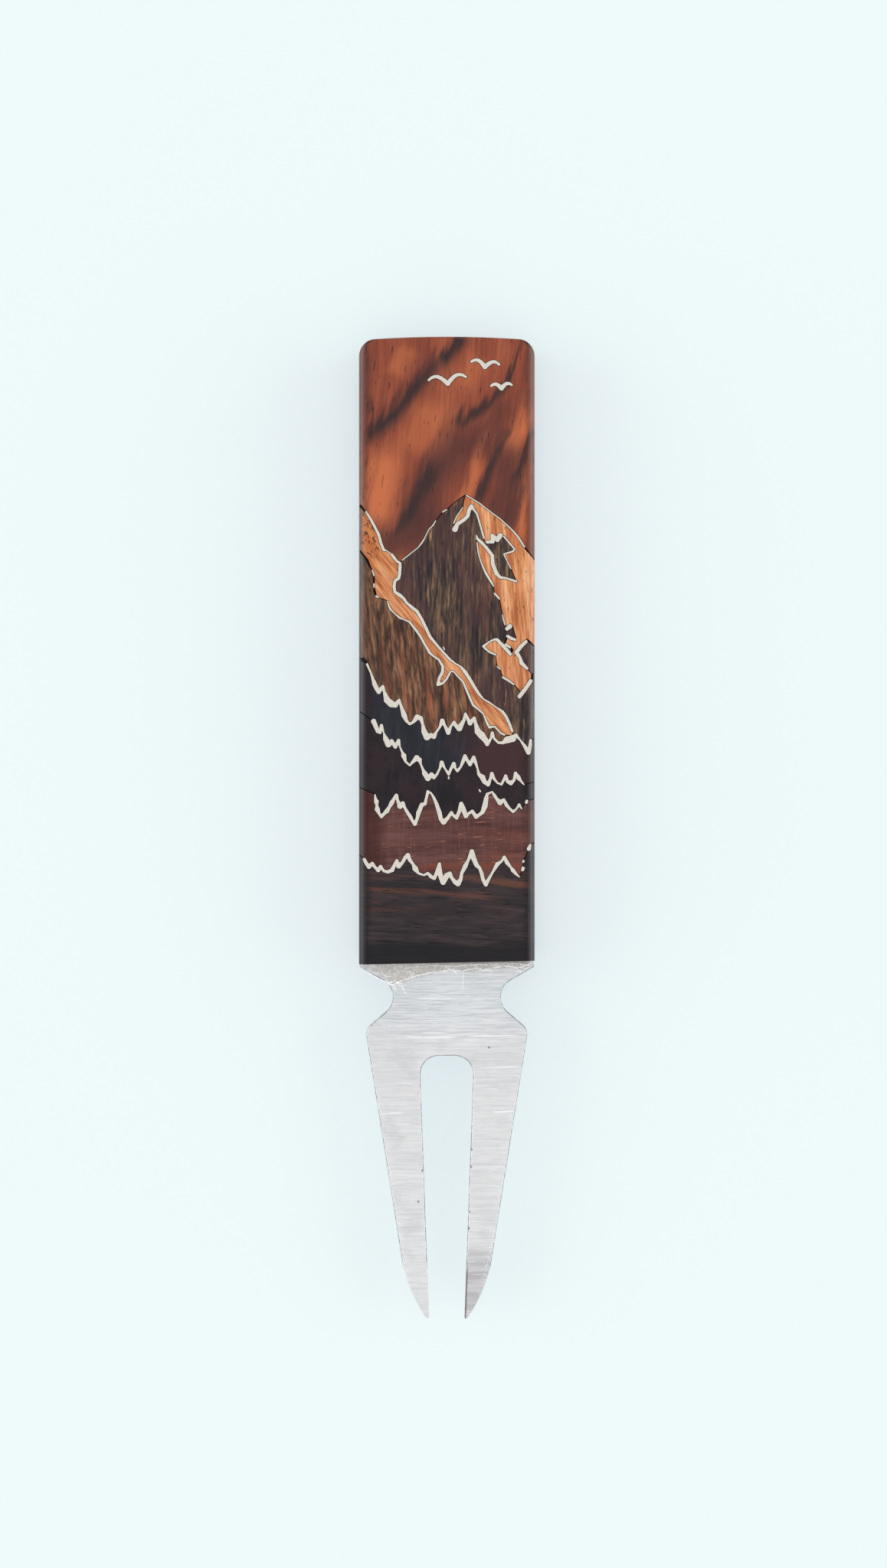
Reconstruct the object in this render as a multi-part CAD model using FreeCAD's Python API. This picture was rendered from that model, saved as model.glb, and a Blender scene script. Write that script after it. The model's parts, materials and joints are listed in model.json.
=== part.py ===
import FreeCAD, Part
import math
import os
from collections import namedtuple
from FreeCAD import Vector

# Divot repair tool: a two-pronged steel fork with a full tang, a wooden scale
# glued behind the tang, and a landscape of sawn wood tiles glued in front.
# The tool lies on its back scale. +Z is up through the picture, +Y runs to the
# butt of the handle and +X to the right of the picture. Sizes are in mm, and
# until export Y is counted from the middle of the handle's lower end.

# Handle
handle_width = 19.0
handle_length = 67.6
butt_corner_radius = 1.8
butt_crown = 0.25  # how far the butt bows out
end_slope = 0.4  # how much higher the lower end is on the right
side_round = 0.75  # rounding of the long outer edges
butt_round = 0.3  # rounding of the butt's outer edges

# Layers, from the resting face up
back_scale_thickness = 2.7
steel_thickness = 2.4
board_thickness = 1.0
picture_thickness = 1.6
glue_thickness = 0.1

# Fork
fork_length = 39.0  # from the handle to the tips
shoulder_drop = 0.6
upper_flank_angle = 30.0
lower_flank_angle = 40.6
neck_width = 11.7
notch_radius = 2.1
fork_width = 17.7  # across the lower corners before they are rounded
fork_corner_radius = 1.3
point_length = 6.0  # curved and ground end of each prong
point_spread = 9.6  # across both prongs where the points begin
point_bulge = 0.3
point_width = 0.3
point_thickness = 1.3
slot_start = 10.3  # from the handle to the slot
slot_root_width = 5.95
slot_mouth_width = 3.88
slot_corner_radius = 2.05
edge_break = 0.1
margin = 1.0  # how far a blank or a cut runs on past what it has to meet

# Glue in the tang
glue_hole_radius = 3.0
glue_hole_from_end = 12.0  # first hole, from the handle's lower end
glue_hole_from_butt = 13.6  # last hole
plug_clearance = 0.02
squeeze_out_thickness = 0.06

# Picture
picture_width = 19.0  # size that the picture below is drawn at
picture_length = 67.6
kerf_width = 0.1
groove_depth = 0.6
char_gap = 0.06  # bare burnt edge beside each white line
link_narrowing = 0.97  # keeps the side of a line off the round of its ends

tolerance = 0.001  # places closer than this are the same

last_glue_hole = handle_length - glue_hole_from_butt
glue_hole_places = (glue_hole_from_end, (glue_hole_from_end + last_glue_hole) / 2, last_glue_hole)
steel_bottom = back_scale_thickness + glue_thickness
steel_top = steel_bottom + steel_thickness
board_bottom = steel_top + glue_thickness
picture_glue_bottom = board_bottom + board_thickness
picture_bottom = picture_glue_bottom + glue_thickness
picture_top = picture_bottom + picture_thickness

# Each border of the picture is a chain of runs, and each run begins where the
# last one ended. A white line and an empty burnt groove have a width at every
# point, and a bare run is only the saw kerf. A chip is white and off the kerf.
Run = namedtuple("Run", "kind name points")


def white(name, *points):
    return Run("white", name, points)


def chip(name, *points):
    return Run("chip", name, points)


def burnt(*points):
    return Run("burnt", None, points)


def bare(*points):
    return Run("bare", None, points)


crest_border = (
    bare((-9.8, 50.0), (-9.3, 49.3)),
    burnt((-9.3, 49.3, 0.3), (-8.9, 48.8, 0.26)),
    white("ridge_crest_line", (-8.7, 48.65, 0.2), (-8.2, 47.85, 0.26), (-7.8, 47.1, 0.28),
          (-7.35, 46.2, 0.3), (-7.1, 45.25, 0.3), (-6.8, 44.55, 0.28), (-6.45, 44.45, 0.1),
          (-6.05, 44.15, 0.12), (-5.9, 44.0, 0.3), (-5.65, 43.65, 0.3), (-5.4, 43.35, 0.25),
          (-5.05, 43.1, 0.3), (-5.05, 42.65, 0.34), (-5.1, 41.95, 0.34),
          (-5.2, 41.5, 0.34), (-5.6, 41.2, 0.3), (-5.7, 40.6, 0.34), (-5.6, 40.0, 0.3),
          (-5.05, 39.65, 0.38), (-4.65, 39.3, 0.3), (-4.3, 38.8, 0.28), (-3.7, 38.3, 0.34),
          (-3.2, 37.9, 0.34), (-2.7, 37.05, 0.32), (-2.2, 36.0, 0.34), (-1.8, 35.15, 0.32),
          (-1.0, 34.2, 0.26), (-0.25, 33.35, 0.24), (0.35, 32.7, 0.26), (0.9, 32.3, 0.16),
          (1.5, 31.95, 0.2), (1.95, 31.4, 0.4), (2.45, 30.65, 0.36), (2.95, 29.8, 0.34),
          (3.5, 28.95, 0.3), (3.95, 28.45, 0.16), (4.65, 28.05, 0.18), (5.35, 27.55, 0.14),
          (6.0, 27.1, 0.3), (6.4, 26.55, 0.3), (6.75, 25.8, 0.3), (7.05, 25.0, 0.26)),
)
foot_border = (
    bare((-9.8, 45.0), (-9.3, 44.4)),
    burnt((-9.3, 44.4, 0.2), (-9.05, 44.05, 0.25), (-8.6, 43.45, 0.3), (-8.25, 42.7, 0.2),
          (-8.05, 42.35, 0.14)),
    white("ridge_foot_line", (-8.05, 42.35, 0.12), (-7.85, 41.8, 0.16)),
    burnt((-7.85, 41.7, 0.16), (-7.85, 41.0, 0.22)),
    white("ridge_foot_line", (-7.85, 40.85, 0.18), (-7.85, 40.55, 0.14)),
    burnt((-7.85, 40.5, 0.16), (-7.8, 40.1, 0.3), (-7.65, 39.65, 0.24)),
    white("ridge_foot_line", (-7.6, 39.55, 0.22), (-7.4, 39.45, 0.16)),
    bare((-7.4, 39.45), (-6.5, 39.1)),
    white("ridge_foot_line", (-6.4, 39.0, 0.12), (-6.25, 38.5, 0.18), (-6.1, 38.15, 0.2),
          (-5.6, 37.65, 0.12), (-5.05, 37.2, 0.22), (-4.65, 37.05, 0.14),
          (-4.05, 36.8, 0.2), (-3.45, 36.05, 0.26), (-2.9, 35.3, 0.24), (-2.4, 34.4, 0.24),
          (-1.85, 33.45, 0.28), (-1.45, 33.1, 0.2), (-0.85, 32.7, 0.22), (-0.45, 32.0, 0.3),
          (-0.45, 31.4, 0.34), (-0.8, 30.75, 0.32), (-0.95, 30.05, 0.38),
          (-0.45, 30.15, 0.24), (0.0, 30.65, 0.22), (0.25, 31.15, 0.24), (0.4, 31.45, 0.16),
          (0.7, 31.45, 0.16), (1.2, 30.9, 0.18), (1.75, 30.3, 0.2), (2.1, 29.5, 0.24),
          (2.45, 28.65, 0.24), (2.85, 27.8, 0.26), (3.4, 27.35, 0.2), (3.95, 26.85, 0.16),
          (4.3, 25.95, 0.24), (4.6, 25.4, 0.26), (5.15, 25.5, 0.18), (5.8, 24.8, 0.2),
          (6.2, 24.6, 0.2)),
    bare((6.2, 24.6), (7.1, 24.5), (7.1, 23.8)),
    bare((7.1, 24.5), (7.1, 25.1)),
)
skyline_border = (
    bare((-5.3, 43.0), (-5.0, 43.3)),
    white("skyline_left_line", (-4.8, 43.45, 0.12), (-3.1, 44.8, 0.1), (-2.7, 45.3, 0.16),
          (-2.4, 45.8, 0.12), (-1.95, 46.75, 0.1), (-1.45, 47.25, 0.14), (-1.2, 47.7, 0.1)),
    bare((-1.2, 47.7), (-0.5, 48.6)),
    white("skyline_left_line", (-0.45, 48.65, 0.14), (-0.05, 48.9, 0.14)),
    bare((-0.05, 48.9), (0.75, 49.6), (1.85, 50.4), (2.0, 50.5)),
    white("skyline_right_line", (2.1, 50.45, 0.12), (3.5, 49.6, 0.12), (4.6, 48.75, 0.12),
          (5.75, 47.9, 0.12), (6.9, 46.85, 0.14), (7.65, 46.0, 0.2), (8.35, 44.9, 0.18)),
    burnt((8.45, 44.75, 0.2), (9.15, 43.9, 0.14)),
    bare((9.15, 43.9), (9.8, 43.1)),
)
sunlit_border = (
    bare((2.0, 50.5), (1.85, 49.9), (1.7, 49.1)),
    white("summit_edge_line", (1.7, 49.1, 0.1), (1.05, 48.15, 0.12), (0.75, 47.45, 0.14)),
    white("summit_stroke", (0.88, 46.78, 0.6), (1.15, 47.35, 0.42), (1.85, 47.8, 0.38),
          (2.25, 48.2, 0.4), (2.4, 48.85, 0.42), (2.65, 49.25, 0.45)),
    white("summit_stroke", (2.65, 49.25, 0.4), (2.9, 48.9, 0.22), (3.25, 48.45, 0.2),
          (3.55, 47.4, 0.2), (4.0, 45.85, 0.2)),
    bare((4.0, 45.85), (4.05, 45.3), (3.75, 45.35), (3.25, 45.6)),
    white("spur_line", (3.25, 45.35, 0.12), (3.4, 44.2, 0.14), (3.75, 43.05, 0.14),
          (4.2, 42.05, 0.24), (4.75, 41.15, 0.24), (5.05, 40.65, 0.14)),
    bare((5.05, 40.65), (5.15, 39.85)),
    white("spur_line", (5.15, 39.85, 0.2), (5.65, 39.3, 0.2)),
    bare((5.65, 39.3), (5.9, 38.1), (6.0, 37.5)),
    white("spur_line", (6.0, 37.5, 0.12), (6.25, 36.5, 0.14)),
    white("snow_chips", (6.5, 36.05, 0.42), (6.8, 36.3, 0.5)),
    burnt((7.1, 36.3, 0.12), (7.25, 35.8, 0.1), (7.45, 35.1, 0.12)),
    white("snow_chips", (7.4, 34.85, 0.24), (6.95, 35.0, 0.34), (6.55, 35.25, 0.3)),
    burnt((6.5, 35.1, 0.16), (6.3, 34.6, 0.2)),
    white("snow_chips", (6.35, 34.35, 0.24), (6.8, 34.05, 0.24)),
    burnt((6.95, 33.95, 0.2), (7.05, 33.75, 0.26), (6.95, 33.4, 0.2)),
    white("patch_top_stroke", (6.85, 33.3, 0.34), (6.4, 33.85, 0.38), (5.9, 34.35, 0.38),
          (5.45, 34.85, 0.34), (5.15, 34.9, 0.22), (4.6, 34.65, 0.16), (3.95, 34.15, 0.28),
          (4.2, 33.85, 0.2), (4.65, 33.5, 0.2), (5.25, 33.25, 0.2)),
    bare((5.25, 33.25), (5.4, 32.15), (5.45, 31.95)),
    white("patch_side_line", (5.45, 31.95, 0.14), (5.75, 31.7, 0.14)),
    bare((5.75, 31.7), (6.0, 30.9)),
    white("patch_side_line", (6.05, 30.8, 0.22), (6.65, 30.45, 0.22), (7.2, 30.05, 0.18)),
    burnt((7.2, 30.05, 0.12), (7.9, 29.3, 0.1)),
    white("patch_foot_stroke", (7.85, 28.75, 0.44), (8.5, 29.6, 0.42), (9.05, 30.4, 0.42)),
    burnt((9.15, 30.45, 0.2), (9.2, 30.75, 0.3), (9.2, 31.15, 0.2)),
    bare((9.2, 31.15), (9.8, 31.3)),
)
outcrop_border = (
    white("outcrop_side_stroke", (3.2, 46.1, 0.14), (3.3, 45.75, 0.28), (3.75, 45.35, 0.34),
          (4.35, 44.7, 0.32), (4.9, 43.95, 0.38), (4.95, 43.05, 0.42), (5.35, 42.0, 0.44),
          (5.75, 41.6, 0.3), (6.4, 41.5, 0.2), (7.5, 41.15, 0.22)),
    bare((7.5, 41.15), (6.9, 42.55)),
    white("outcrop_top_stroke", (6.9, 42.55, 0.12), (6.15, 44.1, 0.15), (7.15, 44.4, 0.2),
          (7.3, 44.65, 0.18), (6.15, 46.0, 0.16)),
    white("outcrop_top_stroke", (5.75, 46.1, 0.55), (5.45, 45.65, 0.5), (4.9, 46.1, 0.4),
          (4.95, 45.45, 0.42), (4.35, 45.4, 0.32)),
    bare((4.35, 45.4), (4.0, 45.2)),
)
edge_rock_border = (
    bare((9.8, 33.9), (9.35, 34.25)),
    burnt((9.35, 34.25, 0.14), (8.95, 34.65, 0.2), (8.65, 34.9, 0.16)),
    white("edge_rock_stroke", (8.55, 34.65, 0.34), (8.0, 34.15, 0.42), (7.5, 33.5, 0.44),
          (7.9, 32.9, 0.34), (8.05, 32.35, 0.46), (8.65, 31.75, 0.28)),
    bare((8.65, 31.75), (9.2, 31.15)),
)

# Rows of treetops: beads of filler joined by thin links
tree_border_1 = (
    bare((-9.8, 33.1), (-9.0, 32.7)),
    burnt((-9.0, 32.7, 0.5), (-8.8, 32.5, 0.4)),
    white("tree_line_1", (-8.6, 32.2, 0.24), (-8.2, 31.3, 0.2), (-8.0, 30.7, 0.3),
          (-7.8, 30.1, 0.5), (-7.6, 29.65, 0.5), (-7.35, 29.25, 0.5), (-6.9, 29.8, 0.35),
          (-6.75, 29.25, 0.3), (-6.45, 28.35, 0.7), (-6.0, 27.95, 0.75),
          (-5.55, 27.8, 0.55), (-5.15, 28.35, 0.3), (-4.95, 27.75, 0.3), (-4.6, 26.7, 0.6),
          (-4.35, 26.1, 0.35), (-4.0, 25.75, 0.25), (-3.65, 25.95, 0.3), (-3.2, 26.5, 0.6),
          (-2.8, 26.4, 0.45), (-2.6, 25.7, 0.3), (-2.45, 24.95, 0.6), (-2.15, 24.35, 0.7),
          (-1.7, 24.55, 0.5), (-1.4, 24.4, 0.5), (-1.1, 24.95, 0.25), (-0.75, 25.45, 0.25),
          (-0.5, 26.1, 0.5), (-0.2, 25.55, 0.3), (0.15, 24.85, 0.5), (0.45, 25.55, 0.25),
          (0.8, 25.95, 0.35), (0.95, 25.6, 0.4), (1.35, 25.3, 0.65), (1.85, 26.2, 0.35),
          (2.0, 26.85, 0.3), (2.3, 26.25, 0.35), (2.5, 25.85, 0.5), (2.95, 26.4, 0.35),
          (3.1, 25.85, 0.35), (3.35, 24.95, 0.7), (3.75, 24.55, 0.8), (4.15, 24.05, 0.6),
          (4.35, 23.6, 0.45), (4.75, 24.2, 0.25), (4.9, 24.8, 0.35), (5.1, 24.2, 0.25),
          (5.55, 23.75, 0.25), (6.05, 23.75, 0.35), (6.5, 24.05, 0.75), (7.1, 24.2, 0.75),
          (7.45, 24.55, 0.4), (7.9, 24.05, 0.16), (8.35, 23.45, 0.35), (8.8, 22.7, 0.5),
          (9.0, 23.45, 0.4), (9.05, 24.0, 0.3)),
    bare((9.05, 24.0), (9.8, 24.4)),
)
tree_border_2 = (
    bare((-9.8, 27.4), (-8.1, 26.2)),
    white("tree_line_2", (-7.9, 26.05, 0.55), (-7.7, 25.6, 0.5), (-7.45, 25.0, 0.45),
          (-7.2, 24.85, 0.35), (-7.05, 25.6, 0.35), (-6.8, 24.8, 0.15), (-6.6, 24.15, 0.55),
          (-6.3, 23.6, 0.7), (-5.95, 23.9, 0.45), (-5.55, 23.3, 0.4), (-5.2, 24.0, 0.35),
          (-5.05, 23.25, 0.16), (-4.8, 22.7, 0.25), (-4.65, 22.35, 0.55),
          (-4.45, 21.7, 0.25), (-4.0, 21.3, 0.2), (-3.65, 21.7, 0.35), (-3.25, 22.1, 0.6),
          (-2.95, 21.9, 0.5), (-2.8, 21.4, 0.2), (-2.55, 20.8, 0.3), (-2.4, 20.45, 0.55),
          (-2.05, 19.9, 0.6), (-1.65, 20.3, 0.5), (-1.4, 20.0, 0.4), (-1.05, 20.35, 0.25),
          (-0.75, 21.0, 0.25), (-0.55, 21.6, 0.45), (-0.2, 20.95, 0.2), (0.2, 20.35, 0.3),
          (0.45, 20.95, 0.3), (0.75, 21.45, 0.45), (0.9, 21.0, 0.25), (1.15, 20.7, 0.3),
          (1.5, 21.15, 0.25), (1.75, 21.75, 0.4), (1.95, 22.3, 0.4), (2.2, 21.85, 0.35),
          (2.5, 21.4, 0.4), (2.9, 22.15, 0.4), (3.1, 21.6, 0.35), (3.3, 21.0, 0.2),
          (3.45, 20.35, 0.35), (3.85, 20.0, 0.6), (4.05, 19.55, 0.5), (4.45, 19.25, 0.45),
          (4.7, 19.85, 0.3), (4.85, 20.4, 0.4), (5.1, 19.85, 0.3), (5.45, 19.4, 0.2),
          (5.9, 19.25, 0.25), (6.35, 20.15, 0.35), (6.55, 19.55, 0.35), (6.9, 19.4, 0.5),
          (7.25, 19.7, 0.3), (7.4, 20.45, 0.35), (7.7, 20.0, 0.5), (8.0, 19.6, 0.25),
          (8.3, 19.25, 0.16)),
    bare((8.3, 19.25), (9.8, 19.6)),
)
tree_border_3 = (
    bare((-9.8, 19.1), (-7.8, 18.2)),
    white("tree_line_3", (-7.75, 18.1, 0.16), (-7.7, 17.7, 0.3), (-7.6, 17.4, 0.5),
          (-7.55, 17.0, 0.3), (-7.5, 16.55, 0.55), (-7.3, 16.1, 0.3), (-7.05, 15.8, 0.4),
          (-6.75, 16.1, 0.35), (-6.45, 16.4, 0.5), (-6.2, 16.8, 0.35), (-5.95, 17.25, 0.5),
          (-5.7, 17.7, 0.35), (-5.45, 18.05, 0.4), (-5.3, 17.5, 0.3), (-5.05, 16.9, 0.6),
          (-4.75, 17.2, 0.45), (-4.55, 16.75, 0.3), (-4.3, 16.3, 0.35), (-3.9, 15.7, 0.4),
          (-3.7, 15.3, 0.3), (-3.45, 15.0, 0.45), (-3.2, 15.55, 0.35), (-3.05, 16.2, 0.5),
          (-2.7, 17.05, 0.45), (-2.35, 17.15, 0.35), (-2.2, 17.8, 0.3), (-2.05, 18.45, 0.35),
          (-1.7, 18.3, 0.2), (-1.4, 17.8, 0.3), (-1.1, 17.1, 0.4), (-0.8, 16.2, 0.5),
          (-0.65, 15.5, 0.45), (-0.35, 15.2, 0.6), (0.05, 15.55, 0.4), (0.5, 16.2, 0.35),
          (0.65, 15.95, 0.3), (1.05, 15.65, 0.4), (1.35, 16.35, 0.4), (1.55, 17.15, 0.45),
          (1.75, 16.65, 0.55), (2.05, 15.85, 0.5), (2.35, 16.1, 0.3), (2.75, 16.35, 0.35),
          (3.15, 15.75, 0.45), (3.55, 16.0, 0.35), (3.85, 16.25, 0.45), (4.1, 16.9, 0.6),
          (4.25, 17.7, 0.5), (4.35, 18.2, 0.3), (4.9, 18.45, 0.16), (5.1, 18.1, 0.35),
          (5.4, 17.65, 0.35), (5.75, 17.3, 0.6), (6.15, 17.6, 0.3), (6.45, 17.0, 0.4),
          (6.75, 16.65, 0.3), (7.15, 16.3, 0.3), (7.5, 16.6, 0.2), (7.8, 17.05, 0.3),
          (8.05, 16.65, 0.16)),
    bare((8.05, 16.65), (8.6, 17.4)),
    white("tree_line_3", (8.57, 17.3, 0.3), (8.63, 17.45, 0.3)),
    bare((8.63, 17.45), (9.8, 17.8)),
)
tree_border_4 = (
    bare((-9.8, 11.9), (-9.0, 11.3)),
    white("tree_line_4", (-8.9, 11.15, 0.35), (-8.7, 10.75, 0.4), (-8.4, 10.35, 0.45),
          (-8.05, 10.7, 0.4), (-7.7, 10.25, 0.3), (-7.4, 10.0, 0.45), (-7.15, 10.35, 0.4),
          (-6.8, 9.9, 0.3), (-6.35, 9.8, 0.35), (-5.9, 10.0, 0.45), (-5.6, 10.65, 0.35),
          (-5.4, 11.0, 0.35), (-5.2, 10.45, 0.55), (-4.8, 10.8, 0.35), (-4.5, 11.35, 0.4),
          (-4.2, 11.6, 0.5), (-4.0, 11.1, 0.4), (-3.65, 10.65, 0.3), (-3.4, 10.15, 0.6),
          (-3.05, 9.65, 0.25), (-2.5, 9.45, 0.2), (-2.05, 9.65, 0.3), (-1.7, 9.3, 0.4),
          (-1.35, 9.1, 0.35), (-1.1, 9.7, 0.4), (-0.8, 10.65, 0.35), (-0.8, 9.85, 0.6),
          (-0.6, 9.1, 0.5), (-0.4, 8.7, 0.6), (0.0, 9.4, 0.6), (0.3, 9.6, 0.5),
          (0.6, 9.05, 0.35), (0.9, 8.7, 0.5), (1.2, 8.55, 0.6), (1.5, 9.0, 0.4),
          (1.6, 9.65, 0.35), (2.0, 10.45, 0.5), (2.3, 11.05, 0.3), (2.7, 12.0, 0.5),
          (2.9, 11.25, 0.55), (3.2, 10.55, 0.5), (3.55, 10.2, 0.35), (3.75, 9.65, 0.4),
          (3.9, 9.0, 0.4), (4.2, 8.45, 0.45), (4.5, 9.0, 0.35), (4.9, 9.7, 0.25),
          (5.45, 10.65, 0.45), (5.9, 10.95, 0.25), (6.2, 11.4, 0.35), (6.5, 10.8, 0.45),
          (6.9, 10.3, 0.25), (7.15, 9.95, 0.45), (7.55, 9.5, 0.25), (7.8, 9.3, 0.16)),
    bare((7.8, 9.3), (8.2, 10.0)),
    white("tree_line_4", (8.17, 10.03, 0.32), (8.23, 10.2, 0.36)),
    bare((8.23, 10.2), (8.25, 10.9)),
    white("tree_line_4", (8.24, 10.9, 0.25), (8.28, 11.0, 0.22)),
    bare((8.28, 11.0), (8.8, 12.2)),
    white("tree_line_4", (8.85, 12.3, 0.45), (9.0, 12.7, 0.26)),
    bare((9.0, 12.7), (9.8, 13.3)),
)
loose_chips = (
    chip("tree_line_2", (3.5, 18.65, 0.16), (3.6, 18.5, 0.2)),
    chip("tree_line_2", (0.2, 20.05, 0.16), (0.2, 19.9, 0.2)),
    chip("ridge_crest_line", (-0.38, 34.05, 0.14), (-0.26, 33.8, 0.14)),
)
borders = (
    crest_border, foot_border, skyline_border, sunlit_border, outcrop_border,
    edge_rock_border, tree_border_1, tree_border_2, tree_border_3, tree_border_4,
)

# One point inside each tile of the picture
tile_places = {
    "sky_panel": (0.0, 58.0),
    "ridge": (-6.5, 42.0),
    "mountain": (0.0, 40.0),
    "sunlit_face": (8.3, 40.0),
    "outcrop": (5.8, 42.8),
    "edge_rock": (8.8, 33.0),
    "foothill": (-6.0, 34.0),
    "upper_forest": (-3.0, 23.6),
    "middle_forest": (1.0, 18.0),
    "lower_forest": (0.0, 13.5),
    "foreground": (0.0, 4.0),
}

# Gulls in the sky: place of the body, span and tilt in degrees
wing_points = 6  # on each wing
wing_rise = 0.22  # for each millimetre of span
wing_droop = 0.78  # share of a half wave between body and wing tip
gull_body_width = 0.5
gull_tip_width = 0.26
gulls = ((0.1, 62.5, 4.0, 5.0), (4.1, 64.3, 3.0, -6.0), (5.9, 62.0, 2.2, 3.0))

# Lower edge of the dried glue that oozed out onto the steel
squeeze_out_edge = (
    (9.0, -0.5), (7.9, -1.2), (7.4, -0.7), (4.7, -0.9), (2.2, -1.2), (0.5, -1.0),
    (-1.9, -1.4), (-4.8, -2.3), (-5.8, -2.6), (-7.4, -1.4), (-9.0, -0.7),
)


def corner_ends(before, corner, after, radius):
    """First, middle and last point of the arc that rounds one corner."""
    to_before = (before - corner).normalize()
    to_after = (after - corner).normalize()
    half = to_before.getAngle(to_after) / 2
    reach = radius / math.tan(half)
    middle = (to_before + to_after).normalize() * (radius / math.sin(half) - radius)
    return corner + to_before * reach, corner + middle, corner + to_after * reach


def bulged_edge(start, end, bulge):
    """Straight edge, or an arc that stands out by bulge on the right of its way."""
    if bulge == 0:
        return Part.LineSegment(start, end)
    along = (end - start).normalize()
    outward = Vector(along.y, -along.x, 0)
    return Part.Arc(start, (start + end) * 0.5 + outward * bulge, end)


def outline(corners, z=0.0):
    """Closed wire through anticlockwise corners (x, y, radius, bulge to the next)."""
    count = len(corners)
    places = [Vector(x, y, z) for x, y, radius, bulge in corners]
    starts, ends, edges = [], [], []
    for i, (x, y, radius, bulge) in enumerate(corners):
        first = middle = last = places[i]
        if radius > 0:
            first, middle, last = corner_ends(places[i - 1], places[i],
                                              places[(i + 1) % count], radius)
        starts.append(first)
        ends.append(last)
        if radius > 0:
            edges.append(Part.Arc(first, middle, last))
    for i, corner in enumerate(corners):
        edges.append(bulged_edge(ends[i], starts[(i + 1) % count], corner[3]))
    return Part.Wire(Part.__sortEdges__([edge.toShape() for edge in edges]))


def prism(wire, height):
    return Part.Face(wire).extrude(Vector(0, 0, height))


def cylinder(radius, height, x, y, z):
    return Part.makeCylinder(radius, height, Vector(x, y, z))


def end_height(x):
    """Y of the handle's sloping lower end at one x."""
    return end_slope * x / handle_width


def handle_outline(z):
    half = handle_width / 2
    butt = handle_length - butt_crown
    corners = (
        (-half, end_height(-half), 0, 0),
        (half, end_height(half), 0, 0),
        (half, butt, butt_corner_radius, butt_crown),
        (-half, butt, butt_corner_radius, 0),
    )
    return outline(corners, z)


def handle_layer(bottom, thickness):
    return prism(handle_outline(bottom), thickness)


def rounded_layer(inner, outer):
    """Handle layer between two heights, with the edges of its outer face rounded."""
    slab = prism(handle_outline(inner), outer - inner)
    rims = []
    for number, edge in enumerate(slab.Edges, 1):
        box = edge.BoundBox
        on_face = abs(box.ZMin - outer) < tolerance and box.ZLength < tolerance
        if not on_face or box.YMax < handle_length / 2:
            continue
        if box.XLength < tolerance:
            radii = (side_round, side_round)
        elif box.XMin * box.XMax < 0:
            radii = (butt_round, butt_round)
        elif abs(edge.Vertexes[0].X) > abs(edge.Vertexes[-1].X):
            radii = (side_round, butt_round)
        else:
            radii = (butt_round, side_round)
        rims.append((number,) + radii)
    workbench = FreeCAD.newDocument("rounding")
    blank = workbench.addObject("Part::Feature", "blank")
    blank.Shape = slab
    rounded = workbench.addObject("Part::Fillet", "rounded")
    rounded.Base = blank
    rounded.Edges = rims
    workbench.recompute()
    layer = rounded.Shape.copy()
    FreeCAD.closeDocument(workbench.Name)
    return layer


def fork_outline(top, z):
    """Outer edge of the fork up to a height in Y, with its slot still closed."""
    upper = math.radians(upper_flank_angle)
    lower = math.radians(lower_flank_angle)
    half = handle_width / 2
    reach = notch_radius * math.cos((upper - lower) / 2) / math.sin((upper + lower) / 2)
    notch_x = neck_width / 2 + notch_radius - reach
    notch_y = -shoulder_drop - (half - notch_x) * math.tan(upper)
    corner_y = notch_y - (fork_width / 2 - notch_x) * math.tan(lower)
    tip_x = slot_mouth_width / 2 + point_width
    right = [
        (tip_x, -fork_length, 0, point_bulge),
        (point_spread / 2, point_length - fork_length, 0, 0),
        (fork_width / 2, corner_y, fork_corner_radius, 0),
        (notch_x, notch_y, notch_radius, 0),
        (half, -shoulder_drop, 0, 0),
        (half, top, 0, 0),
    ]
    left = [(-x, y, radius, 0) for x, y, radius, bulge in reversed(right)]
    left[-2] = left[-2][:3] + (point_bulge,)
    return outline(right + left, z)


def slot_outline():
    past_tips = fork_length + margin
    taper = (slot_root_width - slot_mouth_width) / 2 / (fork_length - slot_start)
    mouth = slot_root_width / 2 - taper * (past_tips - slot_start)
    root = slot_root_width / 2
    corners = (
        (-mouth, -past_tips, 0, 0),
        (mouth, -past_tips, 0, 0),
        (root, -slot_start, slot_corner_radius, 0),
        (-root, -slot_start, slot_corner_radius, 0),
    )
    return outline(corners, steel_bottom)


def point_grind(face, way):
    """Wedge that thins the points from one face of the steel."""
    depth = (steel_thickness - point_thickness) / 2
    start = point_length - fork_length
    slope = depth / point_length
    end = -fork_length - margin
    profile = Part.makePolygon([
        Vector(-fork_width, start, face),
        Vector(-fork_width, end, face - way * slope * (start - end)),
        Vector(-fork_width, end, face + way * margin),
        Vector(-fork_width, start, face + way * margin),
        Vector(-fork_width, start, face),
    ])
    return Part.Face(profile).extrude(Vector(2 * fork_width, 0, 0))


def make_fork():
    """Steel plate: prongs, neck and full tang in one piece."""
    prongs = prism(fork_outline(margin, steel_bottom), steel_thickness)
    prongs = prongs.cut(prism(slot_outline(), steel_thickness))
    rims = [edge for edge in prongs.Edges if edge.BoundBox.ZLength < tolerance
            and tolerance - fork_length < edge.CenterOfMass.y < -shoulder_drop / 2]
    prongs = prongs.makeChamfer(edge_break, rims)
    prongs = prongs.cut([point_grind(steel_top, 1), point_grind(steel_bottom, -1)])
    holes = [cylinder(glue_hole_radius, steel_thickness, 0, y, steel_bottom)
             for y in glue_hole_places]
    tang = handle_layer(steel_bottom, steel_thickness).cut(holes)
    return tang.fuse(prongs).removeSplitter()


def make_glue_plugs():
    radius = glue_hole_radius - plug_clearance
    return Part.makeCompound([cylinder(radius, steel_thickness, 0, y, steel_bottom)
                              for y in glue_hole_places])


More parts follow.
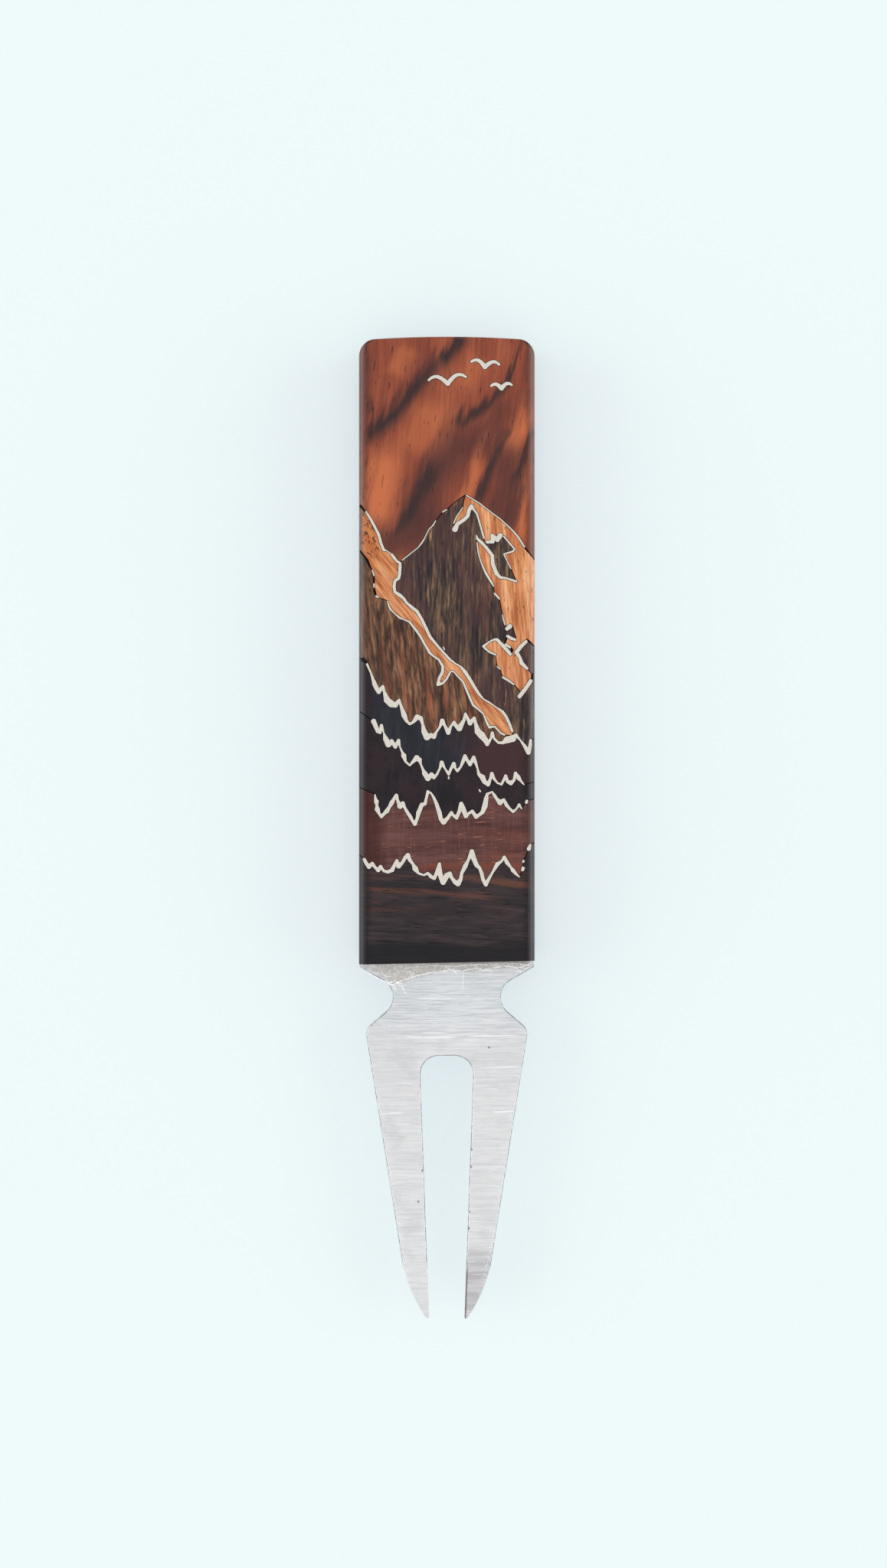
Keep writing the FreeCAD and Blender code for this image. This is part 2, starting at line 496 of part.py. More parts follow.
def drawn(x, y):
    """Place on the handle of a point in the picture."""
    return Vector(x * handle_width / picture_width, y * handle_length / picture_length, 0)


def make_squeeze_out():
    """Dried glue on the steel along the handle's lower end."""
    edge = [drawn(x, y) for x, y in squeeze_out_edge]
    right, left = edge[0].x, edge[-1].x
    places = [Vector(right, end_height(right), 0), Vector(left, end_height(left), 0)]
    places += edge[::-1] + places[:1]
    film = prism(Part.makePolygon(places), squeeze_out_thickness)
    film.translate(Vector(0, 0, steel_top))
    return film.common(prism(fork_outline(margin, steel_top), squeeze_out_thickness))


def disc(centre, radius):
    circle = Part.Circle(centre, Vector(0, 0, 1), radius).toShape()
    return Part.Face(Part.Wire([circle]))


def link(start, end, start_radius, end_radius):
    """Strip between two discs, a little narrower than they are."""
    along = (end - start).normalize()
    side = Vector(along.y, -along.x, 0) * link_narrowing
    corners = [start + side * start_radius, end + side * end_radius,
               end - side * end_radius, start - side * start_radius]
    return Part.Face(Part.makePolygon(corners + corners[:1]))


def ribbon(strip, bottom, height):
    """Solid with the outline of a line through (place, radius) points."""
    faces = [disc(place, radius) for place, radius in strip]
    for (start, start_radius), (end, end_radius) in zip(strip, strip[1:]):
        faces.append(link(start, end, start_radius, end_radius))
    flat = faces[0].multiFuse(faces[1:]).removeSplitter().Faces[0]
    flat.translate(Vector(0, 0, bottom))
    return flat.extrude(Vector(0, 0, height))


def strip_of(run, extra=0.0):
    """Places and radii of a run's points."""
    return [(drawn(x, y), width / 2 + extra) for x, y, width in run.points]


def kerf_strip(border):
    """One saw cut along the whole of a border."""
    strip = []
    for run in border:
        strip += [(drawn(*point[:2]), kerf_width / 2) for point in run.points]
    return [point for i, point in enumerate(strip)
            if i == 0 or (point[0] - strip[i - 1][0]).Length > tolerance]


def gull_run(x, y, span, tilt):
    """White line of one gull, wing tip to wing tip."""
    points = []
    angle = math.radians(tilt)
    for i in range(-wing_points, wing_points + 1):
        out = i / wing_points
        across = span / 2 * out
        rise = wing_rise * span * math.sin(math.pi * wing_droop * abs(out))
        width = gull_body_width + (gull_tip_width - gull_body_width) * abs(out)
        points.append((x + across * math.cos(angle) - rise * math.sin(angle),
                       y + across * math.sin(angle) + rise * math.cos(angle), width))
    return white("gulls", *points)


def cut_by_near(solid, tools):
    """Solid less each tool near it, one at a time."""
    for tool in tools:
        if tool.BoundBox.intersect(solid.BoundBox):
            solid = solid.cut(tool)
    return solid


def make_tiles(blank, runs, groove_bottom):
    """Wood tiles, sawn apart along the borders and grooved for the white lines."""
    saws = [ribbon(kerf_strip(border), picture_bottom, picture_thickness) for border in borders]
    grooves = [ribbon(strip_of(run, char_gap if run.name else 0), groove_bottom, groove_depth)
               for run in runs]
    sawn = blank.cut(saws).Solids
    tiles = {}
    for name, (x, y) in tile_places.items():
        inside = drawn(x, y) + Vector(0, 0, picture_bottom + glue_thickness)
        tile = next(solid for solid in sawn if solid.isInside(inside, tolerance, False))
        tiles[name] = cut_by_near(tile, grooves)
    return tiles


def make_white_lines(blank, runs, groove_bottom):
    """White filler of each named line, sanded flush and stopped by the lines before it."""
    flat_half = handle_width / 2 - side_round
    fillers = {}
    for name in dict.fromkeys(run.name for run in runs if run.name):
        pieces = [ribbon(strip_of(run), groove_bottom, groove_depth)
                  for run in runs if run.name == name]
        filler = pieces[0]
        if len(pieces) > 1:
            filler = filler.multiFuse(pieces[1:]).removeSplitter()
        box = filler.BoundBox
        if box.XMin < -flat_half or box.XMax > flat_half:
            filler = filler.common(blank)
        fillers[name] = cut_by_near(filler, list(fillers.values()))
    return fillers


def make_picture():
    """Tiles and white lines of the landscape, by name."""
    blank = rounded_layer(picture_bottom, picture_top)
    runs = [run for border in borders for run in border if run.kind != "bare"]
    runs += loose_chips
    runs += [gull_run(*gull) for gull in gulls]
    groove_bottom = picture_top - groove_depth
    parts = make_tiles(blank, runs, groove_bottom)
    parts.update(make_white_lines(blank, runs, groove_bottom))
    return parts


def make_parts():
    parts = {
        "back_scale": rounded_layer(back_scale_thickness, 0),
        "back_glue_film": handle_layer(back_scale_thickness, glue_thickness),
        "fork": make_fork(),
        "glue_plugs": make_glue_plugs(),
        "front_glue_film": handle_layer(steel_top, glue_thickness),
        "glue_squeeze_out": make_squeeze_out(),
        "backing_board": handle_layer(board_bottom, board_thickness),
        "picture_glue_film": handle_layer(picture_glue_bottom, glue_thickness),
    }
    parts.update(make_picture())
    return parts


def export(parts):
    os.makedirs("parts", exist_ok=True)
    to_origin = Vector(0, (fork_length - handle_length) / 2, 0)
    for name, shape in parts.items():
        shape.translate(to_origin)
        shape.exportStep("parts/" + name + ".step")


export(make_parts())
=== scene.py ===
import json
import math
import random

import bpy
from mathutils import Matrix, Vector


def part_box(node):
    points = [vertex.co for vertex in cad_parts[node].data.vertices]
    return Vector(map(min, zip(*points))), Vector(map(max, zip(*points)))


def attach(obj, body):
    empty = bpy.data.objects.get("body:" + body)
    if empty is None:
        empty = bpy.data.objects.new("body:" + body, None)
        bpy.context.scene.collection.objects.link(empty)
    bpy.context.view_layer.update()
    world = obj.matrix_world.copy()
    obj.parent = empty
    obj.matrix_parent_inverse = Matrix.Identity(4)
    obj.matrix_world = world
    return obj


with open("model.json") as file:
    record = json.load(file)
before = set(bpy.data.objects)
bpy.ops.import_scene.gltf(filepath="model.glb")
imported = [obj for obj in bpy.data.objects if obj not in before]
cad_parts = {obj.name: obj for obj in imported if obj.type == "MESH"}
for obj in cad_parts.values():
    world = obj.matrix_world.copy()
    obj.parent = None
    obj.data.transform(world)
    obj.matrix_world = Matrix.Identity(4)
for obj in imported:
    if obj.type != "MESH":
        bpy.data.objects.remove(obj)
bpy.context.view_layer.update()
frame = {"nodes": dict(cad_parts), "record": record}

# Places from the frame, in metres. The finishes are laid out in millimetres from
# the middle of the handle's lower end, on the face of the handle.
MM = 0.001
HANDLE_LOW, HANDLE_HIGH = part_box("backing_board")
FORK_LOW, FORK_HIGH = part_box("fork")
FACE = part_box("sky_panel")[1][2]
END_SLOPE = 0.4 * MM
END = HANDLE_LOW[1] + END_SLOPE / 2
STEEL_TOP = FORK_HIGH[2]

# Sizes in millimetres
HANDLE_MM = (HANDLE_HIGH[1] - END) / MM
HALF_MM = HANDLE_HIGH[0] / MM
HALF_STEEL_MM = (STEEL_TOP - FORK_LOW[2]) / 2 / MM
POINTS_START = -33.0  # where the ends of the prongs begin
POINTS_HALF = 4.8  # from the middle to the outer edge there
POINT_SLOPE = 0.0917  # how fast the points get thinner
FLANK_SLOPE = 0.1594  # how fast the prongs' outer edges spread, going up
SLOT_HALF_AT_END = 3.35  # half the slot's width, carried on up to the handle
SLOT_SLOPE = 0.0361

random.seed(7)


def tone(red, green, blue):
    """Linear colour of an sRGB colour from 0 to 255."""
    parts = []
    for part in (red, green, blue):
        part = part / 255
        parts.append(part / 12.92 if part < 0.04045 else ((part + 0.055) / 1.055) ** 2.4)
    return (*parts, 1.0)


# ---------------------------------------------------------------- stage

def set_camera():
    """Camera straight above the tool."""
    shown_length = 0.1692
    distance = 0.30
    left, above_end = 0.36 * MM, 19.29 * MM
    data = bpy.data.cameras.new("camera")
    data.sensor_width = 36.0
    data.lens = 36.0 * distance / shown_length
    data.clip_start = 0.01
    data.clip_end = 10.0
    camera = bpy.data.objects.new("camera", data)
    camera.location = (-left, END + above_end, FACE + distance)
    bpy.context.scene.collection.objects.link(camera)
    bpy.context.scene.camera = camera


def add_sun(name, side, strength):
    """Broad low light from one side."""
    spread, tilt = 56, 72
    data = bpy.data.lights.new(name, "SUN")
    data.angle = math.radians(spread)
    data.energy = strength
    data.color = (0.94, 0.98, 1.0)
    sun = bpy.data.objects.new(name, data)
    sun.rotation_euler = (0.0, side * math.radians(tilt), 0.0)
    bpy.context.scene.collection.objects.link(sun)


def set_lights():
    """White room, with a broad low light on each side."""
    world = bpy.data.worlds.new("white_room")
    world.use_nodes = True
    background = world.node_tree.nodes["Background"]
    background.inputs["Color"].default_value = (0.97, 0.99, 1.0, 1.0)
    background.inputs["Strength"].default_value = 0.78
    bpy.context.scene.world = world
    add_sun("left_sun", -1, 1.15)
    add_sun("right_sun", 1, 1.05)
    bpy.context.scene.view_settings.view_transform = "Standard"


# ---------------------------------------------------------------- shader maths

class Value:
    """Output of a node, with arithmetic that adds Math nodes."""

    def __init__(self, finish, socket):
        self.finish = finish
        self.socket = socket

    def math(self, operation, first, second=0.0):
        return self.finish.node("ShaderNodeMath", {"operation": operation},
                                {0: first, 1: second})

    def __add__(self, other):
        return self.math("ADD", self, other)

    def __radd__(self, other):
        return self.math("ADD", other, self)

    def __sub__(self, other):
        return self.math("SUBTRACT", self, other)

    def __rsub__(self, other):
        return self.math("SUBTRACT", other, self)

    def __mul__(self, other):
        return self.math("MULTIPLY", self, other)

    def __rmul__(self, other):
        return self.math("MULTIPLY", other, self)

    def __truediv__(self, other):
        return self.math("DIVIDE", self, other)

    def __pow__(self, other):
        return self.math("POWER", self, other)

    def __abs__(self):
        return self.math("ABSOLUTE", self)

    def at_most(self, other):
        return self.math("MINIMUM", self, other)

    def at_least(self, other):
        return self.math("MAXIMUM", self, other)

    def rise(self, low, high):
        """0 below low and 1 above high, smooth between; low above high falls."""
        if low > high:
            return 1 - self.rise(high, low)
        return self.finish.node("ShaderNodeMapRange", {"interpolation_type": "SMOOTHSTEP"},
                                {0: self, 1: low, 2: high})


class Finish:
    """One material and its nodes."""

    def __init__(self, name):
        self.material = bpy.data.materials.new(name)
        self.material.use_nodes = True
        self.tree = self.material.node_tree
        self.tree.nodes.clear()
        self.place = self.handle_place()
        self.x, self.y, self.z = self.axes(self.place)

    def node(self, kind, settings=None, sockets=None, output=0):
        """Adds a node of any kind and returns one of its outputs."""
        made = self.tree.nodes.new(kind)
        for name, value in (settings or {}).items():
            if name == "stops":
                self.set_stops(made.color_ramp, value)
            else:
                setattr(made, name, value)
        for key, value in (sockets or {}).items():
            if isinstance(value, Value):
                self.tree.links.new(value.socket, made.inputs[key])
            else:
                made.inputs[key].default_value = value
        return Value(self, made.outputs[output])

    @staticmethod
    def set_stops(ramp, stops):
        while len(ramp.elements) < len(stops):
            ramp.elements.new(0.5)
        for element, (position, colour) in zip(ramp.elements, stops):
            element.position = position
            element.color = colour

    def handle_place(self):
        """Place in millimetres from the handle's lower end and face."""
        object_place = self.node("ShaderNodeTexCoord", output=3)
        from_end = self.node("ShaderNodeVectorMath", {"operation": "SUBTRACT"},
                             {0: object_place, 1: (0.0, END, FACE)})
        return self.node("ShaderNodeVectorMath", {"operation": "SCALE"},
                         {0: from_end, "Scale": 1 / MM})

    def axes(self, vector):
        made = self.tree.nodes.new("ShaderNodeSeparateXYZ")
        self.tree.links.new(vector.socket, made.inputs[0])
        return [Value(self, socket) for socket in made.outputs]

    def turned(self, vector, degrees):
        """Vector turned about Z, so that a pattern leans by that angle to the right."""
        return self.node("ShaderNodeMapping", None,
                         {"Vector": vector, "Rotation": (0.0, 0.0, math.radians(degrees))})

    def squeezed(self, vector, factors):
        return self.node("ShaderNodeVectorMath", {"operation": "MULTIPLY"},
                         {0: vector, 1: factors})

    def noise(self, vector, scale=1.0, detail=3.0, roughness=0.5):
        return self.node("ShaderNodeTexNoise", None,
                         {"Vector": vector, "Scale": scale, "Detail": detail,
                          "Roughness": roughness})

    def streaks(self, vector, width, length, detail=3.0):
        """Noise drawn out along Y, with features of about this width and length."""
        return self.noise(self.squeezed(vector, (0.5 / width, 0.5 / length, 0.5 / width)),
                          1.0, detail, 0.55)

    def cells(self, vector, scale, feature="F1"):
        return self.node("ShaderNodeTexVoronoi", {"feature": feature},
                         {"Vector": vector, "Scale": scale})

    def wavy(self, vector, scale, amount):
        """Vector pushed about by slow noise."""
        push = self.node("ShaderNodeTexNoise", None,
                         {"Vector": vector, "Scale": scale, "Detail": 2.0}, output=1)
        centred = self.node("ShaderNodeVectorMath", {"operation": "SUBTRACT"},
                            {0: push, 1: (0.5, 0.5, 0.5)})
        scaled = self.node("ShaderNodeVectorMath", {"operation": "SCALE"},
                           {0: centred, "Scale": amount})
        return self.node("ShaderNodeVectorMath", {"operation": "ADD"}, {0: vector, 1: scaled})

    def ramp(self, value, stops):
        return self.node("ShaderNodeValToRGB", {"stops": stops}, {0: value})

    def mix(self, factor, first, second, kind="RGBA"):
        """Mix of two colours, or of two vectors."""
        socket, output = (6, 2) if kind == "RGBA" else (4, 1)
        return self.node("ShaderNodeMix", {"data_type": kind},
                         {0: factor, socket: first, socket + 1: second}, output=output)

    def close(self, colour, roughness, height=None, depth=0.02, fixed=None, alpha=None,
              metallic=0.0, coat=None):
        """Joins the finish to its shader."""
        shader = self.tree.nodes.new("ShaderNodeBsdfPrincipled")
        output = self.tree.nodes.new("ShaderNodeOutputMaterial")
        self.tree.links.new(shader.outputs[0], output.inputs[0])
        sockets = {"Base Color": colour, "Roughness": roughness, "Metallic": metallic}
        if alpha is not None:
            sockets["Alpha"] = alpha
        if coat is not None:
            sockets["Coat Weight"] = coat
        if height is not None:
            sockets["Normal"] = self.node("ShaderNodeBump", None,
                                          {"Height": height, "Distance": depth * MM})
        sockets.update(fixed or {})
        for key, value in sockets.items():
            if isinstance(value, Value):
                self.tree.links.new(value.socket, shader.inputs[key])
            else:
                shader.inputs[key].default_value = value
        return self.material


# ---------------------------------------------------------------- woods

CHAR = tone(22, 19, 21)


def charred(f, marks=()):
    """1 on groove walls and saw cuts, and on every deeper surface but the long sides.

    Each mark is x, y, half width and half length of a burn on the face."""
    inner = abs(f.x).rise(HALF_MM - 0.72, HALF_MM - 0.78)
    inner = inner * f.y.rise(0.35, 0.45) * f.y.rise(HANDLE_MM - 0.5, HANDLE_MM - 0.55)
    low = f.z.rise(-0.02, -0.08)
    deep = f.z.rise(-0.45, -0.5) * abs(f.x).rise(HALF_MM - 0.04, HALF_MM - 0.06)
    deep = deep * f.y.rise(0.35, 0.45)
    burn = (inner * low).at_least(deep)
    for x, y, half_width, half_length in marks:
        across = (f.x - x) / half_width
        along = (f.y - y) / half_length
        burn = burn.at_least((across * across + along * along).rise(1.2, 0.6))
    return burn


def over_ridge(f):
    """1 above and right of the ridge that crosses the picture, 0 on it."""
    return (f.y + f.x * 1.35).rise(37.2, 37.8)


def wood(name, tones, lean=0.0, other_lean=None, broad_size=(0.5, 7.0), fine_size=(0.14, 2.2),
         fibre=0.4, contrast=(0.34, 0.66), pores=0.0, pore_size=(0.12, 1.2), wave=0.6,
         extra=None, marks=(), roughness=0.42):
    """Oiled wood whose grain leans to the right of +Y by an angle.

    The other lean is for the same wood above the ridge. Sizes are the width and
    length of the streaks in millimetres, and fibre is the share of the fine ones."""
    f = Finish(name)
    grain = f.turned(f.place, lean)
    if other_lean is not None:
        grain = f.mix(over_ridge(f), grain, f.turned(f.place, other_lean), "VECTOR")
    bent = f.wavy(grain, 0.14, wave)
    broad = f.streaks(bent, *broad_size)
    fine = f.streaks(bent, *fine_size)
    threads = f.streaks(grain, 0.05, 0.9)
    body = broad * (1 - fibre) + fine * fibre
    shade = body.rise(*contrast) + (threads - 0.5) * 0.3
    colour = f.ramp(shade, tones)
    if extra:
        colour = extra(f, grain, colour)
    height = threads * 0.6 + fine * 0.4
    if pores:
        pit = f.streaks(grain, *pore_size, detail=1.0).rise(0.7 - 0.1 * pores, 0.75 - 0.1 * pores)
        colour = f.mix(pit * 0.75, colour, CHAR)
        height = height - pit * 1.5
    colour = f.mix(charred(f, marks) * 0.94, colour, CHAR)
    gloss = roughness + (threads - 0.5) * 0.3
    worn = abs(f.x).rise(HALF_MM - 0.85, HALF_MM - 0.62)
    return f.close(colour, gloss, height, 0.012,
                   {"Specular IOR Level": 0.2, "Coat Roughness": 0.3, "Coat IOR": 1.5},
                   coat=worn * (0.85 - f.y.rise(30.0, 20.0) * f.x.rise(1.0, -1.0) * 0.3))


def streak(f, place, angle, half_width, half_length, wobble):
    """Soft band through a place, at an angle from +X, as a mask."""
    turn = math.radians(angle)
    dx = f.x - place[0]
    dy = f.y - place[1]
    along = dx * math.cos(turn) + dy * math.sin(turn)
    across = dy * math.cos(turn) - dx * math.sin(turn) + wobble * 1.2
    band = (abs(across) / half_width + wobble * 0.7).rise(1.5, 0.1)
    return band * abs(along).rise(half_length * 1.3, half_length * 0.5)


def tiger_streaks(f, grain, colour):
    """Dark diagonal bands and bright orange clouds of the sky's wood.

    Each band is its middle, angle, half width, half length and strength."""
    slow = f.streaks(f.turned(f.place, 30.0), 1.6, 7.0) - 0.5
    quick = f.streaks(f.turned(f.place, 12.0), 0.35, 3.0) - 0.5
    wobble = slow * 1.5 + quick * 1.3
    clouds = (((-7.2, 51.0), 80, 2.0, 4.6, 0.7), ((2.3, 51.2), 66, 0.8, 3.4, 0.55),
              ((8.0, 57.6), 62, 0.9, 2.8, 0.6), ((-2.4, 57.6), 66, 2.6, 3.0, 0.4),
              ((2.6, 63.6), 60, 1.3, 2.0, 0.3), ((8.5, 49.8), 84, 0.5, 4.6, 0.6),
              ((-4.6, 64.8), 66, 1.3, 1.8, 0.35), ((3.6, 55.4), 66, 0.5, 2.4, 0.5))
    smoke = (((-1.0, 52.8), 56, 2.3, 7.0, 0.8), ((6.4, 51.4), 74, 2.1, 5.2, 0.76),
             ((4.8, 57.8), 62, 1.6, 3.8, 0.6), ((-8.6, 62.6), 84, 0.8, 4.2, 0.5),
             ((-4.0, 46.4), 30, 2.4, 5.0, 0.85), ((8.6, 63.6), 86, 0.7, 3.6, 0.4),
             ((-3.8, 61.8), 50, 1.7, 5.2, 0.5))
    bands = (((-5.9, 59.6), 50, 1.0, 4.4, 0.92), ((-2.6, 63.4), 48, 0.9, 2.4, 0.75),
             ((0.6, 66.2), 46, 1.0, 2.2, 0.92), ((7.0, 64.6), 76, 0.32, 3.0, 0.9),
             ((4.3, 60.4), 44, 0.7, 2.8, 0.85), ((2.2, 59.0), 52, 0.65, 1.6, 0.75),
             ((-2.9, 50.6), 58, 0.8, 4.2, 0.75), ((4.4, 52.4), 70, 0.55, 3.6, 0.85),
             ((8.4, 54.8), 74, 0.35, 3.4, 0.8), ((6.2, 56.2), 62, 0.4, 1.6, 0.6),
             ((7.6, 49.2), 72, 0.7, 3.2, 0.5), ((-8.2, 58.6), 88, 0.25, 2.4, 0.75),
             ((-4.6, 47.6), 50, 0.7, 2.0, 0.5))
    for shade, group in ((tone(218, 122, 76), clouds), (tone(80, 47, 45), smoke),
                         (tone(46, 39, 41), bands)):
        for place, angle, half_width, half_length, strength in group:
            mask = streak(f, place, angle, half_width, half_length, wobble)
            colour = f.mix(mask * strength, colour, shade)
    corner = (abs(f.x) - HALF_MM + 2.1).at_least(0.0) * (f.y - HANDLE_MM + 1.7).at_least(0.0)
    colour = f.mix(corner.rise(0.5, 1.5) * 0.6, colour, tone(58, 40, 42))
    return edge_shadow(f, colour, 1.3, 0.5, (70, 38, 32))


def sky_wood():
    tones = ((0.0, tone(112, 56, 45)), (0.4, tone(142, 70, 50)), (0.7, tone(158, 82, 57)),
             (1.0, tone(182, 102, 70)))
    return wood("sky_cocobolo", tones, lean=4.0, broad_size=(1.8, 12.0), fine_size=(0.16, 2.6),
                fibre=0.35, contrast=(0.25, 0.75), pores=0.15, pore_size=(0.1, 0.9),
                extra=tiger_streaks)


def light_wood_extra(f, grain, colour):
    """Red streaks, open dark pores close together at the ridge's left end, and painted shadow
    along the left edge below the ridge.
    """
    red = f.streaks(grain, 0.3, 3.5).rise(0.5, 0.68)
    colour = f.mix(red * 0.5, colour, tone(184, 92, 56))
    lines = f.streaks(grain, 0.1, 1.6, detail=2.0).rise(0.56, 0.66)
    colour = f.mix(lines * (1 - over_ridge(f) * 0.5) * 0.4, colour, tone(128, 64, 44))
    gold = f.x.rise(-6.2, -8.4) * f.y.rise(41.5, 45.0)
    colour = f.mix(gold * 0.6, colour, tone(190, 104, 50))
    pit = f.streaks(grain, 0.17, 0.34, detail=1.0).rise(0.56, 0.62)
    left = f.x.rise(-6.7, -7.8) * f.y.rise(43.0, 44.2)
    colour = f.mix(pit * left * 0.85, colour, tone(66, 30, 24))
    # Painted shadow: the left edge below the ridge is darkened.
    edge = f.x.rise(-8.9, -9.2) * (1 - over_ridge(f))
    return f.mix(edge * 0.7, colour, tone(62, 38, 34))


def light_wood():
    tones = ((0.0, tone(172, 92, 52)), (0.4, tone(206, 132, 84)), (0.75, tone(228, 156, 106)),
             (1.0, tone(242, 182, 136)))
    return wood("light_padauk", tones, lean=-38.0, other_lean=-4.0, broad_size=(0.4, 4.5),
                fine_size=(0.11, 1.5), fibre=0.5, pores=0.1, pore_size=(0.1, 0.5), wave=0.4,
                extra=light_wood_extra)


def mountain_extra(f, grain, colour):
    """Purple clouds, rust streaks and tan flecks."""
    purple = f.noise(f.squeezed(f.place, (0.28, 0.14, 0.28)), 1.0, 2.0).rise(0.42, 0.6)
    colour = f.mix(purple * 0.6, colour, tone(84, 54, 54))
    rust = f.streaks(grain, 0.3, 3.5).rise(0.6, 0.72)
    colour = f.mix(rust * 0.4, colour, tone(122, 72, 56))
    tan = f.streaks(grain, 0.2, 1.6, detail=4.0).rise(0.56, 0.7)
    warm = f.noise(f.squeezed(f.place, (0.2, 0.1, 0.2)), 1.0, 2.0).rise(0.36, 0.62)
    colour = f.mix(tan * (warm * 0.7 + 0.25), colour, tone(160, 122, 88))
    return edge_shadow(f, colour, 1.2, 0.45, (40, 30, 28))


def mountain_wood():
    tones = ((0.0, tone(34, 30, 33)), (0.35, tone(58, 47, 47)), (0.7, tone(90, 70, 58)),
             (1.0, tone(128, 98, 72)))
    return wood("mountain_wenge", tones, lean=1.0, broad_size=(0.5, 5.0), fine_size=(0.13, 1.3),
                fibre=0.55, pores=0.3, pore_size=(0.14, 1.0), wave=0.3, extra=mountain_extra,
                marks=((9.2, 30.8, 0.16, 0.5), (9.3, 33.5, 0.1, 0.2)))


def foothill_extra(f, grain, colour):
    """Rust streaks that get stronger lower down, dark clouds and tan flecks."""
    rust = f.streaks(grain, 0.4, 4.5).rise(0.5, 0.68)
    low = f.y.rise(34.0, 27.0)
    colour = f.mix(rust * (low * 0.5 + 0.35), colour, tone(156, 84, 56))
    shadow = f.noise(f.squeezed(f.place, (0.22, 0.12, 0.22)), 1.0, 2.0).rise(0.55, 0.7)
    colour = f.mix(shadow * 0.55, colour, tone(46, 38, 38))
    tan = f.streaks(grain, 0.16, 1.3, detail=4.0).rise(0.56, 0.7)
    colour = f.mix(tan * 0.6, colour, tone(176, 132, 98))
    return edge_shadow(f, colour, 1.3, 0.5, (54, 36, 26))


def foothill_wood():
    tones = ((0.0, tone(50, 35, 30)), (0.35, tone(84, 57, 44)), (0.7, tone(118, 82, 60)),
             (1.0, tone(150, 108, 80)))
    return wood("foothill_bocote", tones, lean=-6.0, broad_size=(0.5, 4.0),
                fine_size=(0.13, 1.1), fibre=0.55, pores=0.3, pore_size=(0.12, 0.7), wave=0.4,
                extra=foothill_extra, marks=((-8.9, 32.5, 0.2, 0.35),))


def edge_shadow(f, colour, inset=1.6, strength=0.6, shade=(24, 21, 24)):
    """Darker wood beside the rounded long edges."""
    mask = (abs(f.x) + (f.noise(f.place, 0.5) - 0.5) * 1.2).rise(HALF_MM - inset, HALF_MM - 0.6)
    return f.mix(mask * strength, colour, tone(*shade))


def upper_forest_extra(f, grain, colour):
    """Reddish wood toward both long edges, most of it on the right."""
    drift = f.noise(f.squeezed(f.place, (0.35, 0.2, 0.35)), 1.0, 3.0, 0.5) - 0.5
    red = (f.x + drift * 9.0).rise(-0.5, 4.5)
    colour = f.mix(red * 0.75, colour, tone(72, 42, 42))
    left = (f.x + drift * 4.0).rise(-7.4, -8.8)
    colour = f.mix(left * 0.5, colour, tone(60, 32, 30))
    return edge_shadow(f, colour, 2.0, 0.5)


def upper_forest_wood():
    tones = ((0.0, tone(28, 29, 35)), (0.5, tone(38, 39, 46)), (1.0, tone(54, 53, 60)))
    return wood("upper_ebony", tones, lean=4.0, broad_size=(1.6, 6.0), fine_size=(0.2, 1.5),
                contrast=(0.25, 0.75), extra=upper_forest_extra, roughness=0.5,
                marks=((9.35, 24.9, 0.13, 0.5),))


def middle_forest_extra(f, grain, colour):
    """Reddish clouds and crowded dark pores."""
    drift = f.noise(f.squeezed(f.place, (0.3, 0.3, 0.3)), 1.0, 3.0, 0.5)
    colour = f.mix(drift.rise(0.4, 0.6) * 0.6, colour, tone(54, 36, 40))
    dots = f.cells(f.squeezed(f.place, (1.0, 0.75, 1.0)), 2.2)
    crowd = f.noise(f.place, 0.3, 2.0).rise(0.42, 0.6)
    colour = f.mix(dots.rise(0.2, 0.12) * crowd * 0.9, colour, tone(12, 10, 13))
    return edge_shadow(f, colour, 1.8, 0.5)


def middle_forest_wood():
    tones = ((0.0, tone(20, 18, 23)), (0.5, tone(33, 28, 33)), (1.0, tone(50, 39, 43)))
    return wood("middle_ebony", tones, lean=3.0, broad_size=(1.2, 4.0), fine_size=(0.2, 1.5),
                contrast=(0.25, 0.75), extra=middle_forest_extra, roughness=0.5,
                marks=((9.35, 17.7, 0.13, 0.3),))


def lower_forest_extra(f, grain, colour):
    """Fine upright threads over red streaks, with short bright flecks, and painted shade toward
    the left edge.
    """
    weave = f.streaks(f.place, 0.14, 2.4)
    colour = f.mix(weave.rise(0.45, 0.75) * 0.4, colour, tone(122, 86, 82))
    glow = f.streaks(f.turned(f.place, 88.0), 1.1, 7.0)
    low = f.y.rise(14.0, 11.5)
    colour = f.mix(glow.rise(0.45, 0.68) * (low * 0.5 + 0.2), colour, tone(134, 66, 44))
    sparks = f.streaks(f.turned(f.place, 86.0), 0.1, 0.9, detail=1.0)
    colour = f.mix(sparks.rise(0.66, 0.74) * 0.6, colour, tone(186, 120, 92))
    # Painted shade: the wood is darkened toward the left edge.
    left = f.x.rise(-6.0, -7.8)
    colour = f.mix(left * 0.75, colour, tone(64, 30, 27))
    return edge_shadow(f, colour, 1.6, 0.5, (48, 24, 22))


def lower_forest_wood():
    tones = ((0.0, tone(68, 40, 39)), (0.5, tone(93, 58, 55)), (1.0, tone(114, 76, 72)))
    return wood("lower_rosewood", tones, lean=88.0, broad_size=(0.6, 6.0), fine_size=(0.14, 1.6),
                contrast=(0.28, 0.72), extra=lower_forest_extra, roughness=0.45,
                marks=((9.3, 12.6, 0.12, 0.3),))


